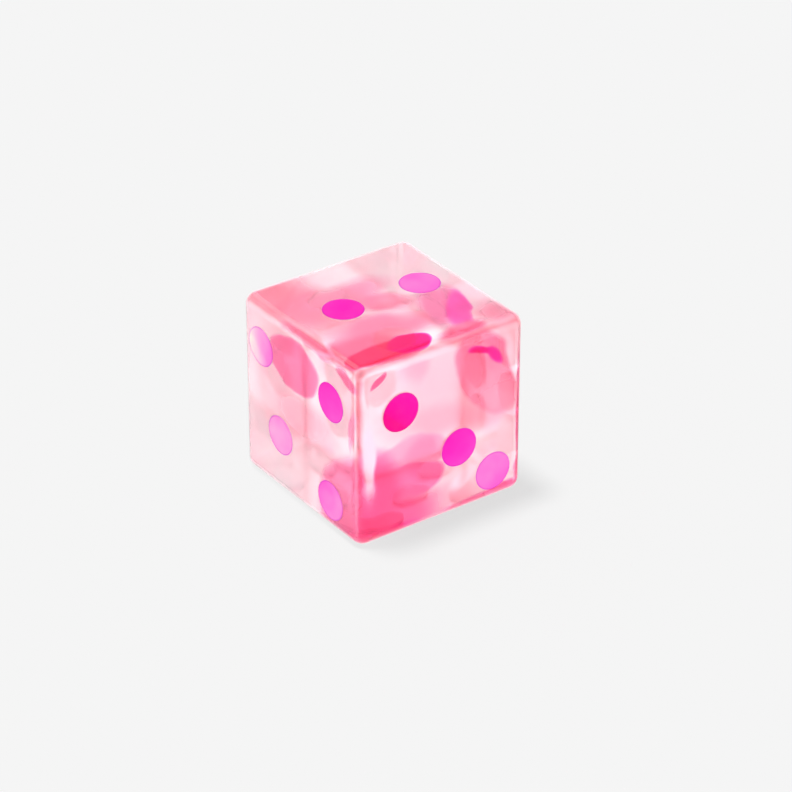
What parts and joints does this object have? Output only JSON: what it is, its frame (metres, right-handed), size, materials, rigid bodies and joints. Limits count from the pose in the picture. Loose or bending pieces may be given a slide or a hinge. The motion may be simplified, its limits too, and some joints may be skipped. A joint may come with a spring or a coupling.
{
  "type": "casino die",
  "caption": "Translucent tinted cube die with flush round inlaid pips and rounded edges, for casino and table games.",
  "frame": {"origin": "centre of the block", "axes": "+Z out of the face with two pips, -Y out of the face with three, -X out of the face with four"},
  "size_m": [0.019, 0.019, 0.019],
  "materials": {
    "clear_tinted_plastic": "polished translucent pale pink plastic with deeper pink clouding",
    "pip_inlay": "opaque magenta resin, ground flush and polished"
  },
  "bodies": {
    "root": {"block": "clear_tinted_plastic", "two_pip_left": "pip_inlay", "two_pip_right": "pip_inlay", "three_pip_upper_left": "pip_inlay", "three_pip_middle": "pip_inlay", "three_pip_lower_right": "pip_inlay", "four_pip_upper_left": "pip_inlay", "four_pip_upper_right": "pip_inlay", "four_pip_lower_left": "pip_inlay", "four_pip_lower_right": "pip_inlay", "one_pip_middle": "pip_inlay", "five_pip_upper_left": "pip_inlay", "five_pip_upper_right": "pip_inlay", "five_pip_middle": "pip_inlay", "five_pip_lower_left": "pip_inlay", "five_pip_lower_right": "pip_inlay", "six_pip_upper_left": "pip_inlay", "six_pip_middle_left": "pip_inlay", "six_pip_lower_left": "pip_inlay", "six_pip_upper_right": "pip_inlay", "six_pip_middle_right": "pip_inlay", "six_pip_lower_right": "pip_inlay"}
  },
  "joints": []
}
